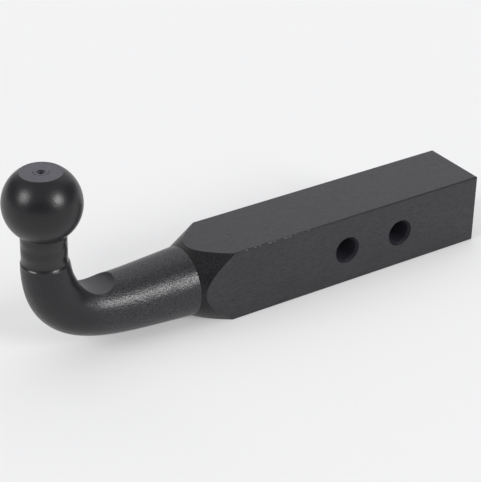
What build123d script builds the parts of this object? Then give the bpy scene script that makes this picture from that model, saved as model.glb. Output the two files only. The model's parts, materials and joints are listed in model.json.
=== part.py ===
"""Ball mount: a towing ball on a bent, tapering arm that grows into a square shank.

One steel forging, turned, bent, ground and drilled, so it is one solid. The shank slides into a
square receiver tube and is held by a cross pin, and a trailer's coupling head closes over the ball.

Frame, in millimetres: the origin is on the shank's axis at the centre of the pin hole nearer the ball,
+X runs along the shank away from the ball, +Z points up to the ball.
"""

import os
from math import hypot, radians, sqrt, tan

from build123d import *

# Ball and neck
ball_diameter = 50.0
flat_diameter = 27.0  # flat turned on top of the ball
flat_edge_radius = 0.8
neck_diameter = 29.0
ball_fillet_radius = 2.5  # between the ball and the neck
ball_height = 85.5  # centre of the ball above the shank's axis

# Centre hole that the ball was turned on
centre_hole_diameter = 2.0
centre_hole_depth = 5.0
centre_sink_diameter = 5.7
centre_sink_angle = 120.0

# Shank and its two pin holes
shank_size = 50.0
edge_radius = 1.0
pin_to_ball = 215.5  # first pin hole to the ball's axis
pin_spacing = 45.0
pin_to_end = 67.5  # second pin hole to the end of the shank
pin_hole_diameter = 16.5
pin_hole_chamfer = 1.4

# Arm and the turned shoulder where it meets the square
arm_length = 99.5  # ball's axis to the shoulder
arm_tip_diameter = 29.6  # where the bend starts, under the ball
arm_root_diameter = 47.0
shoulder_angle = 25.5  # cone's side against the shank's axis
arm_sections = 15

# Bend of the arm, a smooth curve between the ball's axis and the shank's axis
bend_drop = 32.0  # ball's centre down to the start of the bend
bend_reach = 68.0  # ball's axis to the end of the bend
bend_fullness = 0.8  # how far each straight leg carries on towards the corner

# Ledge where the turned neck stops, just inside the bend
neck_overlap = 10.0  # start of the bend down to the ledge
ledge_radius = 3.0

# Scallop ground across the top of the arm, so that a coupling head can tip
scallop_radius = 16.5
scallop_reach = 35.1  # ball's axis to the wheel's axis
scallop_floor = 15.7  # lowest line of the scallop above the shank's axis, at mid width
scallop_lean = 7.5  # the wheel leaned over, so the scallop is deeper on the +Y side

# Places that follow from the sizes above
ball_radius = ball_diameter / 2
flat_radius = flat_diameter / 2
neck_radius = neck_diameter / 2
ball_x = -pin_to_ball
shoulder_x = ball_x + arm_length
shank_end_x = pin_spacing + pin_to_end
bend_start_z = ball_height - bend_drop
bend_end_x = ball_x + bend_reach
ledge_z = bend_start_z - neck_overlap
ball_axis = Axis((ball_x, 0, 0), (0, 0, 1))

# Centreline of the arm: down from the ball, round the bend and straight to the shoulder
with BuildLine(Plane.XZ) as centreline:
    Bezier(
        (ball_x, bend_start_z),
        (ball_x, bend_start_z * (1 - bend_fullness)),
        (bend_end_x - bend_reach * bend_fullness, 0),
        (bend_end_x, 0),
    )
    Line((bend_end_x, 0), (shoulder_x, 0))
arm_path = centreline.wire()

with BuildPart() as ball_mount:
    # Square bar with rounded edges
    with BuildSketch(Plane.YZ.offset(shoulder_x)):
        RectangleRounded(shank_size, shank_size, edge_radius)
    extrude(amount=shank_end_x - shoulder_x)
    fillet(ball_mount.faces().sort_by(Axis.X)[-1].edges(), edge_radius)

    # Turned shoulder: the cone runs out through the flats and leaves a curved edge on each
    corner_reach = hypot(shank_size, shank_size) / 2
    root_radius = arm_root_diameter / 2
    cone_end_x = shoulder_x + (corner_reach - root_radius) / tan(radians(shoulder_angle))
    with BuildSketch(Plane.XZ):
        with BuildLine():
            Polyline(
                (shoulder_x, 0),
                (shoulder_x, root_radius),
                (cone_end_x, corner_reach),
                (shank_end_x, corner_reach),
                (shank_end_x, 0),
                close=True,
            )
        make_face()
    revolve(axis=Axis.X, mode=Mode.INTERSECT)

    # Two pin holes from side to side, with chamfered rims
    with BuildSketch(Plane.XZ):
        with Locations((0, 0), (pin_spacing, 0)):
            Circle(pin_hole_diameter / 2)
    extrude(amount=shank_size, both=True, mode=Mode.SUBTRACT)
    rims = ball_mount.faces().filter_by(Axis.Y).edges().filter_by(GeomType.CIRCLE)
    chamfer(rims, pin_hole_chamfer)

    # Arm: round sections square to the centreline, growing evenly from tip to root
    for section in range(arm_sections):
        share = section / (arm_sections - 1)
        along = share * arm_path.length
        diameter = arm_tip_diameter + share * (arm_root_diameter - arm_tip_diameter)
        place = arm_path.position_at(along, PositionMode.LENGTH)
        heading = arm_path.tangent_at(along, PositionMode.LENGTH)
        with BuildSketch(Plane(place, x_dir=(0, 1, 0), z_dir=heading)):
            Circle(diameter / 2)
    loft()

    # Neck turned on the ball's axis, which leaves a ledge with a tool radius at its foot
    with BuildSketch(Plane.XZ):
        with BuildLine():
            neck_side = Line((ball_x + neck_radius, ball_height), (ball_x + neck_radius, ledge_z + ledge_radius))
            foot = RadiusArc(neck_side @ 1, (ball_x + neck_radius + ledge_radius, ledge_z), -ledge_radius)
            Polyline(foot @ 1, (ball_x + neck_radius + ledge_radius, ball_height), neck_side @ 0)
        make_face()
    revolve(axis=ball_axis, mode=Mode.SUBTRACT)

    # Ball with its flat, and the neck, in one turned outline
    fillet_drop = sqrt((ball_radius + ball_fillet_radius) ** 2 - (neck_radius + ball_fillet_radius) ** 2)
    fillet_share = ball_radius / (ball_radius + ball_fillet_radius)
    flat_rise = sqrt(ball_radius**2 - flat_radius**2)
    with BuildSketch(Plane.XZ):
        with BuildLine():
            flat = Line((ball_x, ball_height + flat_rise), (ball_x + flat_radius, ball_height + flat_rise))
            ball_side = ThreePointArc(
                flat @ 1,
                (ball_x + ball_radius, ball_height),
                (
                    ball_x + (neck_radius + ball_fillet_radius) * fillet_share,
                    ball_height - fillet_drop * fillet_share,
                ),
            )
            waist = TangentArc(
                ball_side @ 1,
                (ball_x + neck_radius, ball_height - fillet_drop),
                tangent=ball_side % 1,
            )
            Polyline(waist @ 1, (ball_x + neck_radius, ledge_z), (ball_x, ledge_z), flat @ 0)
        make_face()
    revolve(axis=ball_axis)
    fillet(ball_mount.faces().sort_by(Axis.Z)[-1].edges(), flat_edge_radius)

    # Scallop across the top of the arm
    wheel_centre = (ball_x + scallop_reach, 0, scallop_floor + scallop_radius)
    wheel_plane = Plane(wheel_centre, x_dir=(1, 0, 0), z_dir=(0, 1, 0)).rotated((-scallop_lean, 0, 0))
    with BuildSketch(wheel_plane):
        Circle(scallop_radius)
    extrude(amount=arm_root_diameter, both=True, mode=Mode.SUBTRACT)

    # Centre hole in the ball's flat
    with Locations((ball_x, 0, ball_height + flat_rise)):
        CounterSinkHole(
            centre_hole_diameter / 2,
            centre_sink_diameter / 2,
            depth=centre_hole_depth,
            counter_sink_angle=centre_sink_angle,
        )

ball_mount.part.label = "ball_mount"
os.makedirs("parts", exist_ok=True)
export_step(ball_mount.part, "parts/ball_mount.step")
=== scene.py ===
# %% [markdown]
# A ball mount, coated black, in soft studio light. The real object is one steel forging: a towing ball on
# a turned neck, a bent arm that grows towards a turned shoulder, and a square shank with two pin holes.
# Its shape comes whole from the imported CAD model, which is never moved or changed here. What Blender adds
# is the look: one thin black coat, which shows how each stretch of the steel under it was worked, and the
# studio that it was photographed in.

# %% Load the forging
import json
import math

import bpy
from mathutils import Matrix, Vector


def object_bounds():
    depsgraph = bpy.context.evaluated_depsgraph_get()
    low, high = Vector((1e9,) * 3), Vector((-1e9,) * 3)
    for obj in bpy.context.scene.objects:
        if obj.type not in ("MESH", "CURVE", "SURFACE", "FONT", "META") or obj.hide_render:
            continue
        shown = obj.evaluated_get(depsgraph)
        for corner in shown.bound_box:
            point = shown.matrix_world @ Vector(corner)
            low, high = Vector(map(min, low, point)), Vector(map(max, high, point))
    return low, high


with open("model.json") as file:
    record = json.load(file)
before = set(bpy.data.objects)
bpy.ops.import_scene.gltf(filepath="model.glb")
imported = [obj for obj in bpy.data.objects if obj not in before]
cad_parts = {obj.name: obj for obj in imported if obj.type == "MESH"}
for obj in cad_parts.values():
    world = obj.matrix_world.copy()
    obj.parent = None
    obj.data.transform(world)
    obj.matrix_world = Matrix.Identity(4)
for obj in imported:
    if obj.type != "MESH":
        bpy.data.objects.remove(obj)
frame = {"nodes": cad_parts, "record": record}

MM = 0.001
cad_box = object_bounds()
forging = frame["nodes"]["ball_mount"]
print("CAD box in mm:", [[round(v / MM, 2) for v in corner] for corner in cad_box])
print("forging:", len(forging.data.polygons), "triangles")

# %% [markdown]
# The finish changes from place to place, so the script needs to know where each stretch of the forging
# is. A maker would read that off the drawing. Here the ball and the pin holes come from the record's
# mounts, the shank's half width comes from the CAD box, and the few sizes that neither gives are
# listed.

# %% Places on the forging
mounts = {mount["name"]: mount for mount in frame["record"]["mounts"]}
ball_centre = Vector(mounts["coupling_ball"]["pos_m"])
ball_radius = mounts["coupling_ball"]["dims"]["r_mm"] * MM
pin_places = [mounts[name]["pos_m"][0] for name in ("front_pin_bore", "rear_pin_bore")]
pin_radius = mounts["front_pin_bore"]["dims"]["r_mm"] * MM
half_shank = cad_box[1].y
floor_gap = 0.1 * MM
floor_height = cad_box[0].z - floor_gap
shoulder_x = ball_centre.x + 99.5 * MM
bend_start = ball_centre.x + 14 * MM
bend_end = ball_centre.x + 42 * MM
neck_top = ball_centre.z - 21.5 * MM
ledge_height = 43.5 * MM
flat_height = ball_centre.z + 21.04 * MM
pip_top_radius = 4.2 * MM
pip_base_radius = 5.3 * MM
pin_chamfer = 1.4 * MM
edge_width = 0.9 * MM
nick_width = 0.5 * MM
nick_end = shoulder_x + 95 * MM
wheel_radius = 16.5 * MM
wheel_centre = (ball_centre.x + 35.1 * MM, 0, 15.7 * MM + wheel_radius)
wheel_lean = math.radians(-7.5)
print("ball at", [round(v / MM, 1) for v in ball_centre], "shoulder at", round(shoulder_x / MM, 1))

# %% [markdown]
# The camera stands where the photographer stood: to the ball's side of the shank, a little over a metre
# away and well above it, with a long lens, so that the shank narrows only a little towards its far end.
# The angles and the distance were found by fitting the object's known edges to the picture. The small
# roll is in the picture too.

# %% Camera
camera_place = Vector((-0.64075, -0.83102, 0.58418))
camera_azimuth = math.radians(-34.459)
camera_elevation = math.radians(29.409)
camera_roll = math.radians(1.246)
focal_length_px = 1750.94
picture_height_px = 482
sensor_mm = 36.0

bpy.ops.object.select_all(action="DESELECT")
bpy.ops.object.camera_add()
camera = bpy.context.object
camera.name = "camera"
camera.data.sensor_width = sensor_mm
camera.data.lens = focal_length_px * sensor_mm / picture_height_px
camera.matrix_world = (
    Matrix.Translation(camera_place)
    @ Matrix.Rotation(camera_azimuth, 4, "Z")
    @ Matrix.Rotation(math.pi / 2 - camera_elevation, 4, "X")
    @ Matrix.Rotation(camera_roll, 4, "Z")
)
bpy.context.scene.camera = camera
print("lens:", round(camera.data.lens, 1), "mm")

# %% [markdown]
# The studio is a table of white paper, lit a little from below, so that shadows on it stay pale. Two
# round softboxes stand to the left and the right of the camera, and each leaves its own highlight on the
# ball, which is how their directions were found. A wide pale wall behind the object is mirrored in the
# top of the shank, and a cloth overhead fills the shadows. The rest of the room is dim. Suns with a wide
# disc do this job well: they light the floor evenly, their shadows are soft, and the disc shows in
# reflections as a softbox would.

# %% Floor
floor_size = 12.0
paper_colour = (0.56, 0.56, 0.56, 1)
paper_glow_colour = (1, 1, 1, 1)
paper_glow = 0.28

bpy.ops.mesh.primitive_plane_add(size=floor_size, location=(0, 0, floor_height))
floor = bpy.context.object
floor.name = "studio_floor"
bpy.ops.object.transform_apply(location=True, rotation=True, scale=True)

paper = bpy.data.materials.new("white_paper")
paper.use_nodes = True
paper_shader = paper.node_tree.nodes["Principled BSDF"]
paper_shader.inputs["Base Color"].default_value = paper_colour
paper_shader.inputs["Emission Color"].default_value = paper_glow_colour
paper_shader.inputs["Emission Strength"].default_value = paper_glow
paper_shader.inputs["Roughness"].default_value = 0.9
paper_shader.inputs["Specular IOR Level"].default_value = 0.1
floor.data.materials.append(paper)
print("floor at", round(floor_height / MM, 1), "mm")


# %% Lights
def soft_light(name, azimuth, elevation, strength, spread):
    """A far, round soft light. Azimuth 0 shines along +Y, all angles are in degrees."""
    turn = (math.pi / 2 - math.radians(elevation), 0, math.radians(azimuth))
    bpy.ops.object.light_add(type="SUN", rotation=turn)
    light = bpy.context.object
    light.name = name
    light.data.energy = strength
    light.data.angle = math.radians(spread)


soft_light("left_softbox", azimuth=-90, elevation=31, strength=1.35, spread=26)
soft_light("right_softbox", azimuth=24, elevation=25, strength=1.65, spread=21)
soft_light("back_wall", azimuth=146, elevation=36, strength=0.84, spread=90)
soft_light("overhead_cloth", azimuth=0, elevation=90, strength=0.75, spread=120)

room_colour = (0.93, 0.94, 1.0, 1)
room_strength = 0.27
room = bpy.data.worlds.new("dim_room")
room.use_nodes = True
room_light = room.node_tree.nodes["Background"]
room_light.inputs["Color"].default_value = room_colour
room_light.inputs["Strength"].default_value = room_strength
bpy.context.scene.world = room
bpy.context.scene.view_settings.view_transform = "Standard"


# %% [markdown]
# Finishes are drawn with shader nodes. Four small helpers keep that readable: one adds a node and fills
# its sockets, one does a sum, one makes a soft mask where a value passes from low to high, and one lays a
# noise over the forging.

# %% Node helpers
def add_node(tree, kind, settings=None, inputs=None):
    """Adds a node, sets its options, and links or sets its input sockets."""
    made = tree.nodes.new("ShaderNode" + kind)
    for option, value in (settings or {}).items():
        setattr(made, option, value)
    for socket, value in (inputs or {}).items():
        if isinstance(value, bpy.types.NodeSocket):
            tree.links.new(value, made.inputs[socket])
        else:
            made.inputs[socket].default_value = value
    return made


def add_sum(tree, operation, *values):
    """One Math node on sockets or numbers."""
    return add_node(tree, "Math", {"operation": operation}, dict(enumerate(values))).outputs[0]


def add_mask(tree, value, low, high):
    """0 below low, 1 above high, with a smooth rise between. Low above high turns it round."""
    made = add_node(
        tree,
        "MapRange",
        {"interpolation_type": "SMOOTHSTEP"},
        {"Value": value, "From Min": low, "From Max": high},
    )
    return made.outputs["Result"]


def add_grain(tree, place, stretch, detail=2.0, roughness=0.5):
    """Noise on Object coordinates; stretch is how many grains fit in a metre along X, Y and Z."""
    scaled = add_node(tree, "Mapping", inputs={"Vector": place, "Scale": stretch})
    made = add_node(
        tree,
        "TexNoise",
        inputs={"Vector": scaled.outputs[0], "Scale": 1.0, "Detail": detail, "Roughness": roughness},
    )
    return made.outputs["Fac"]


print("helpers for nodes, sums, masks and grain are ready")

# %% [markdown]
# The coat is one material, because the real object was dipped or sprayed once. What differs is the steel
# under it, so the material first asks where on the forging it is. Each stretch gets a mask from Object
# coordinates, which are the drawing's own coordinates in metres: the ground flats of the shank, its sawn
# end, the turned shoulder, the ball and neck, the bend, the scallop and the pin holes. The flat on the
# ball has one too, and so has the pip, the low ring of metal round its centre hole. Whatever is left over
# is the blasted arm.

# %% Masks for the stretches of the forging
coat = bpy.data.materials.new("black_coat_finish")
coat.use_nodes = True
tree = coat.node_tree
place = add_node(tree, "TexCoord").outputs["Object"]
along, across, height = add_node(tree, "SeparateXYZ", inputs={0: place}).outputs
edge_blur = 0.04 * MM


def add_distance(first, second):
    """How far a point is from an axis, given its two offsets from it."""
    squares = add_sum(tree, "MULTIPLY", first, first)
    return add_sum(tree, "SQRT", add_sum(tree, "MULTIPLY_ADD", second, second, squares))


def add_inside(distance, limit):
    """1 where a distance is under its limit."""
    return add_mask(tree, distance, limit + edge_blur, limit)


def add_beyond(distance, limit):
    """1 where a distance is over its limit."""
    return add_mask(tree, distance, limit - edge_blur, limit)


on_shank = add_beyond(along, shoulder_x + edge_blur)
reach = add_sum(
    tree,
    "MAXIMUM",
    add_sum(tree, "ABSOLUTE", across),
    add_sum(tree, "ABSOLUTE", height),
)
on_flats = add_sum(tree, "MULTIPLY", on_shank, add_beyond(reach, half_shank - edge_blur))
on_shoulder = add_sum(tree, "SUBTRACT", on_shank, on_flats)
on_end = add_beyond(along, cad_box[1].x - edge_blur)

from_ball_axis = add_distance(add_sum(tree, "SUBTRACT", along, ball_centre.x), across)
on_turned = add_sum(
    tree,
    "MULTIPLY",
    add_beyond(height, ledge_height),
    add_inside(from_ball_axis, ball_radius + edge_blur),
)
on_neck = add_sum(tree, "MULTIPLY", on_turned, add_inside(height, neck_top))
on_bend = add_mask(tree, along, bend_end, bend_start)
on_ball_flat = add_sum(tree, "MULTIPLY", on_turned, add_beyond(height, flat_height - edge_blur))
on_pip = add_mask(tree, from_ball_axis, pip_base_radius, pip_top_radius)

wheel = add_node(
    tree,
    "Mapping",
    {"vector_type": "TEXTURE"},
    {"Vector": place, "Location": wheel_centre, "Rotation": (wheel_lean, 0, 0)},
)
wheel_offsets = add_node(tree, "SeparateXYZ", inputs={0: wheel.outputs[0]})
wheel_along, wheel_across, wheel_height = wheel_offsets.outputs
on_scallop = add_inside(add_distance(wheel_along, wheel_height), wheel_radius + edge_blur)

from_front_pin, from_rear_pin = (
    add_distance(add_sum(tree, "SUBTRACT", along, pin_x), height) for pin_x in pin_places
)
from_pin = add_sum(tree, "MINIMUM", from_front_pin, from_rear_pin)
on_pin_rims = add_inside(from_pin, pin_radius + pin_chamfer - edge_blur)
on_bore_walls = add_inside(from_pin, pin_radius + edge_blur)
print("masks use", len(tree.nodes), "nodes")

# %% [markdown]
# Each stretch then gets its marks, as heights in millimetres, so that the numbers can be compared with a
# real surface. A blasted skin is round pits of under a millimetre. A ground flat has long thin scratches,
# so its noise is stretched along the shank. Turning leaves rings: noise that changes only with the height
# on the neck, and only with the radius on the ball's flat. The heights are small, and only the light's
# glints show them. The shine varies as well, which makes the blasted skin glitter.

# %% Marks in the steel
noise_low = 0.3
noise_high = 0.7
noise_middle = 0.5


def add_spread(value, low, high):
    """Stretches a noise, which lies mostly between noise_low and noise_high, to run from low to high."""
    span = {"From Min": noise_low, "From Max": noise_high, "To Min": low, "To Max": high}
    return add_node(tree, "MapRange", inputs={"Value": value, **span}).outputs["Result"]


def add_rings(distance, pitch, detail):
    """Turning rings: noise along one line, a radius or a height, with a given pitch."""
    made = add_node(
        tree,
        "TexNoise",
        {"noise_dimensions": "1D"},
        {"W": distance, "Scale": 1 / pitch, "Detail": detail},
    )
    return made.outputs["Fac"]


blasted = add_grain(tree, place, (1080, 1080, 1080), detail=0.5)
dimpled = add_grain(tree, place, (160, 160, 160), detail=1.0)
sparkle = add_grain(tree, place, (1500, 1500, 1500), detail=0.0)
scratched = add_grain(tree, place, (320, 1500, 1500), roughness=0.6)
sawn = add_grain(tree, place, (1, 90, 1500))
neck_rings = add_rings(height, pitch=1.6 * MM, detail=2.0)
neck_bands = add_rings(height, pitch=7 * MM, detail=0.0)
flat_rings = add_rings(from_ball_axis, pitch=0.9 * MM, detail=2.0)
shoulder_rings = add_rings(along, pitch=0.7 * MM, detail=1.5)
wheel_marks = add_rings(wheel_across, pitch=0.8 * MM, detail=2.5)
drill_rings = add_rings(across, pitch=0.8 * MM, detail=2.0)
glitter = add_spread(sparkle, low=0.35, high=0.80)
dull_glitter = add_spread(sparkle, low=0.22, high=0.52)
brushed_shine = add_spread(scratched, low=0.48, high=0.63)
print("marks use", len(tree.nodes), "nodes")

# %% [markdown]
# Along the shank's long edges a thin dark line of painted shade stands in for the dark reflection of their
# rounded edges. Handling leaves its own marks.
# Near the shoulder those edges have knocked against things, so the coat is gone in short nicks and the
# steel shows. A few dark specks of grit were caught in the coat of the flats. Nicks and specks are noise
# with a high threshold, so only its rare peaks count.

# %% Edges, nicks and specks
from_side = add_sum(tree, "SUBTRACT", half_shank, add_sum(tree, "ABSOLUTE", across))
from_top = add_sum(tree, "SUBTRACT", half_shank, add_sum(tree, "ABSOLUTE", height))
from_edge = add_sum(tree, "MAXIMUM", from_side, from_top)
on_long_edges = add_sum(tree, "MULTIPLY", on_shank, add_inside(from_edge, edge_width))

nick_noise = add_grain(tree, place, (480, 700, 700), detail=1.0)
on_nicks = add_sum(
    tree,
    "MULTIPLY",
    add_sum(tree, "MULTIPLY", on_long_edges, add_inside(from_edge, nick_width)),
    add_sum(tree, "MULTIPLY", add_inside(along, nick_end), add_mask(tree, nick_noise, low=0.56, high=0.64)),
)
speck_noise = add_grain(tree, place, (330, 330, 330), detail=0.0)
on_specks = add_sum(tree, "MULTIPLY", on_flats, add_mask(tree, speck_noise, low=0.84, high=0.87))
print("handling marks use", len(tree.nodes), "nodes")

# %% [markdown]
# A stretch of the forging is now a mask with four values: how light the coat is, how rough, how much it
# shines, and how high its marks stand. The list below starts with the arm, which lies under the rest, and
# each later line covers what its mask shows. A table like this is easy to tune against the photograph,
# one line at a time.

# %% Put the stretches together
stretches = [
    ("blasted arm", 1.0, 0.008, 0.35, glitter, [(blasted, 0.16), (dimpled, 0.15)]),
    ("bend", on_bend, 0.005, 0.36, 0.47, [(blasted, 0.05), (dimpled, 0.30)]),
    ("ball", on_turned, 0.004, 0.33, 0.46, [(dimpled, 0.05), (blasted, 0.06)]),
    ("neck", on_neck, 0.003, 0.30, 0.58, [(neck_rings, 0.12), (neck_bands, 2.0), (blasted, 0.02)]),
    ("ball flat", on_ball_flat, 0.046, 0.40, 0.58, [(flat_rings, 0.30), (blasted, 0.16), (on_pip, 0.8)]),
    ("scallop", on_scallop, 0.020, 0.40, 0.52, [(wheel_marks, 0.10), (blasted, 0.06)]),
    ("shoulder", on_shoulder, 0.003, 0.37, dull_glitter, [(shoulder_rings, 0.03), (blasted, 0.12)]),
    ("ground flats", on_flats, 0.011, 0.42, brushed_shine, [(scratched, 0.14), (blasted, 0.16)]),
    ("sawn end", on_end, 0.018, 0.48, 0.50, [(sawn, 0.10), (blasted, 0.10)]),
    ("pin hole rims", on_pin_rims, 0.012, 0.46, 0.15, [(drill_rings, 0.06)]),
    # the bore walls' lighter coat is painted light, standing in for the light that reaches into the pin
    # holes
    ("bore walls", on_bore_walls, 0.030, 0.50, 0.40, [(drill_rings, 0.10)]),
    # the long edges' darker coat is painted shade, a dark line standing in for the rounded edges' dark
    # reflection
    ("long edges", on_long_edges, 0.005, 0.44, 0.34, [(blasted, 0.10)]),
    ("nicked edges", on_nicks, 0.060, 0.36, 0.60, [(blasted, 0.10)]),
    ("specks", on_specks, 0.003, 0.50, 0.30, [(blasted, 0.10)]),
]


def add_cover(below, above, mask):
    """Above where the mask is 1, below where it is 0."""
    return add_node(tree, "Mix", inputs={0: mask, 2: below, 3: above}).outputs[0]


lightness = roughness = shine = relief = 0.0
for name, mask, stretch_lightness, stretch_roughness, stretch_shine, marks in stretches:
    marks_height = 0.0
    for pattern, depth in marks:
        marks_height = add_sum(tree, "MULTIPLY_ADD", pattern, depth, marks_height)
    lightness = add_cover(lightness, stretch_lightness, mask)
    roughness = add_cover(roughness, stretch_roughness, mask)
    shine = add_cover(shine, stretch_shine, mask)
    relief = add_cover(relief, marks_height, mask)
    print(f"{name}: {len(marks)} kinds of mark")

# %% [markdown]
# A coat is never quite even: it is a little thinner here and there, in soft clouds and along the scratches.
# Sharp edges of real steel are slightly broken, so the Bevel node rounds them for the light, and the
# marks are added on top of that as bump.

# %% Finish the coat
coat_tint = (1.06, 1.0, 1.35)
roughness_sway = 0.08
broken_edge = 0.5 * MM

clouds = add_grain(tree, place, (38, 60, 60), detail=3.0, roughness=0.6)
lightness = add_sum(tree, "MULTIPLY", lightness, add_spread(clouds, low=0.85, high=1.15))
lightness = add_sum(tree, "MULTIPLY", lightness, add_spread(scratched, low=0.75, high=1.25))
cloud_swing = add_sum(tree, "SUBTRACT", clouds, noise_middle)
roughness = add_sum(tree, "MULTIPLY_ADD", cloud_swing, roughness_sway, roughness)

rounded = add_node(tree, "Bevel", {"samples": 6}, {"Radius": broken_edge}).outputs["Normal"]
bump = add_node(tree, "Bump", inputs={"Distance": MM, "Height": relief, "Normal": rounded})
colour = add_node(tree, "VectorMath", {"operation": "SCALE"}, {0: coat_tint, "Scale": lightness})
shader = tree.nodes["Principled BSDF"]
tree.links.new(shine, shader.inputs["Specular IOR Level"])
tree.links.new(colour.outputs[0], shader.inputs["Base Color"])
tree.links.new(roughness, shader.inputs["Roughness"])
tree.links.new(bump.outputs["Normal"], shader.inputs["Normal"])
forging.material_slots[0].material = coat
print("coat uses", len(tree.nodes), "nodes")
